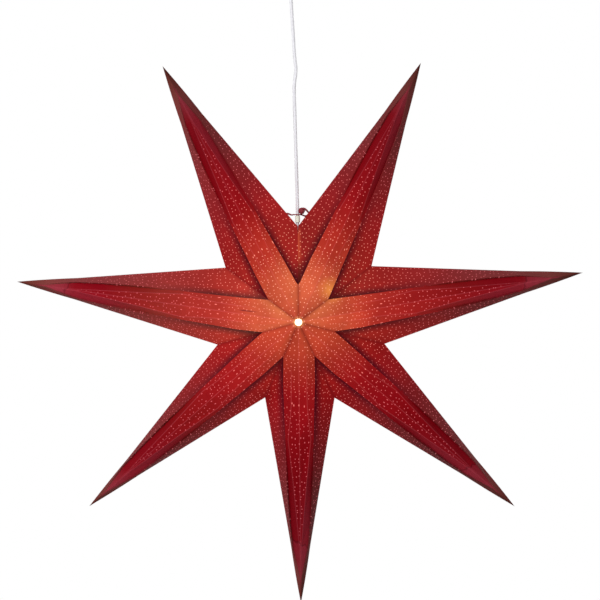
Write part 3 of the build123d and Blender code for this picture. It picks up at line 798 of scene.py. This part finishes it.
def tie(finish):
    """Yarn round the cord on its stop, through both punched holes."""
    z = TIE_Z
    turn = []
    for i in range(34):
        a = 2 * math.pi * i / 32
        turn.append(Vector((CORD_X + TURN_R * math.cos(a), TURN_R * math.sin(a), z + 0.25 - 0.015 * i)))
    left = smooth_path([Vector(v) for v in (
        (-6.4, 0.2, z + 0.3), (-3.0, -0.3, z + 0.9), (-0.9, -0.7, z + 0.5), (1.2, -0.5, z - 0.3),
        (3.4, 0.4, z + 0.1))])
    right = smooth_path([Vector(v) for v in (
        (20.6, 0.2, z - 0.3), (17.2, 0, z - 0.8), (14.4, -0.9, z - 1.3), (12.4, -1.2, z - 0.7),
        (10.5, 0.6, z + 0.1))])
    runs = [(turn, 0.6, 0.0), (left, 1.15, 0.45), (right, 1.1, 0.4)]
    # A turn and a half of yarn at each hole's edge
    for end_x, side in HOLES:
        coil = []
        for k in range(31):
            t = k * 0.21
            coil.append(Vector((end_x + side * 0.4 * math.sin(3 * t), COIL_R * math.cos(2 * t),
                                z + COIL_R * math.sin(2 * t))))
        runs.append((coil, 0.85, 0.0))
    yarn_piece("red_yarn_tie", runs, finish, "tie_twine")


def knot(finish):
    """The tie's knot: yarn wound round a tilted axis over its own heart, with a short tail."""
    middle = Vector(KNOT_AT)
    lean = Vector(KNOT_LEAN).normalized()
    flat = lean.orthogonal().normalized()
    third = lean.cross(flat)
    wound = []
    for k in range(121):
        polar = math.pi * (0.14 + 0.72 * k / 120)
        a = 2 * math.pi * KNOT_TURNS * k / 120
        bulge = KNOT_R + 0.2 * math.sin(3.7 * a)
        round_it = flat * math.cos(a) + third * math.sin(a)
        wound.append(middle + (lean * math.cos(polar) + round_it * math.sin(polar)) * bulge)
    heart = [middle + lean * (0.5 * k - 2.0) for k in range(9)]
    tail = smooth_path([middle + Vector(v) for v in (
        (0.8, 0.2, 2.3), (3.0, 0.5, 2.0), (5.0, 1.4, 0.4), (6.5, 3.2, -1.3))])
    runs = [(wound, 0.95, 0.0), (heart, 2.2, 0.0), (tail, 1.15, 0.2)]
    yarn_piece("red_yarn_knot", runs, finish, "tie_knot")


# Assembly


def dress(finishes):
    """Gives each carried-over part its finish."""
    for slot, material in finishes.items():
        for entry in frame["record"]["subparts"]:
            if entry["material_slot"] == slot:
                thing = frame["nodes"][entry["node"]]
                thing.data.materials.clear()
                thing.data.materials.append(material)


def main():
    """Sets up the view and the light, then builds and dresses the pieces."""
    camera()
    background()
    floor()
    for name, (place, size, watts) in LAMPS.items():
        lamp(name, place, size, watts)
    bpy.context.scene.view_settings.view_transform = "Standard"

    # Soft vinyl: slightly grey white with a dull sheen
    cord(plain_finish("soft_vinyl_cord_sheath", "#D6D5DB", "#E2E1E6", 1.5, 0.45))
    card = dyed_card()
    for index in range(len(POINT_ANGLES)):
        paper_point(index, card)
    # Twisted yarn: matt, with its plies in the mesh and its fibres in the bump
    yarn = plain_finish("twisted_red_yarn", "#741C26", "#98343E", 0.35, 0.85, bump_mm=0.12)
    tie(yarn)
    knot(yarn)
    # Metals reflect with their own colour. Moulded plastics are smooth, nylon and polythene a little waxy.
    # Pressed ceramic is dry and dull, black glass shiny. The bulb's glass and filaments glow warm white.
    lit_glass = plain_finish("frosted_lit_glass", "#FFF3DC", "#FFF6E6", 2.0, 0.35, glow=("#FFDFB0", 3.5))
    steel = plain_finish("zinc_plated_steel", "#B4B6BA", "#C6C8CC", 0.8, 0.32, metallic=1.0)
    moulded = plain_finish("moulded_white_abs", "#E6E6E3", "#EDEDEA", 0.5, 0.28)
    dress({
        "stop_clear": plain_finish("milky_polythene", "#DCDDCB", "#E6E7D8", 1.0, 0.4),
        "cup_white": moulded,
        "holder_white": moulded,
        "plate_steel": steel,
        "screw_steel": steel,
        "block_nylon": plain_finish("moulded_nylon", "#DDDCD2", "#E6E5DC", 0.6, 0.45),
        "brass": plain_finish("pressed_brass", "#B8924A", "#CBA55C", 0.8, 0.28, metallic=1.0),
        "core_blue": plain_finish("vinyl_core_sheath", "#2A5590", "#3462A0", 0.8, 0.4),
        "insert_ceramic": plain_finish("pressed_steatite", "#D2CBB8", "#DDD6C6", 0.5, 0.6),
        "bulb_metal": plain_finish("rolled_aluminium", "#C6C8CA", "#D4D6D8", 0.5, 0.25, metallic=1.0),
        "bulb_black": plain_finish("black_vitrite", "#0C0C0D", "#161617", 0.6, 0.2),
        "bulb_glass": lit_glass,
        "stem_glass": plain_finish("drawn_stem_glass", "#F0EFE8", "#F6F5F0", 2.0, 0.1),
        "filament": plain_finish("phosphor_rods", "#FFD79A", "#FFE2B4", 0.6, 0.6, glow=("#FFC987", 6.0)),
    })


main()
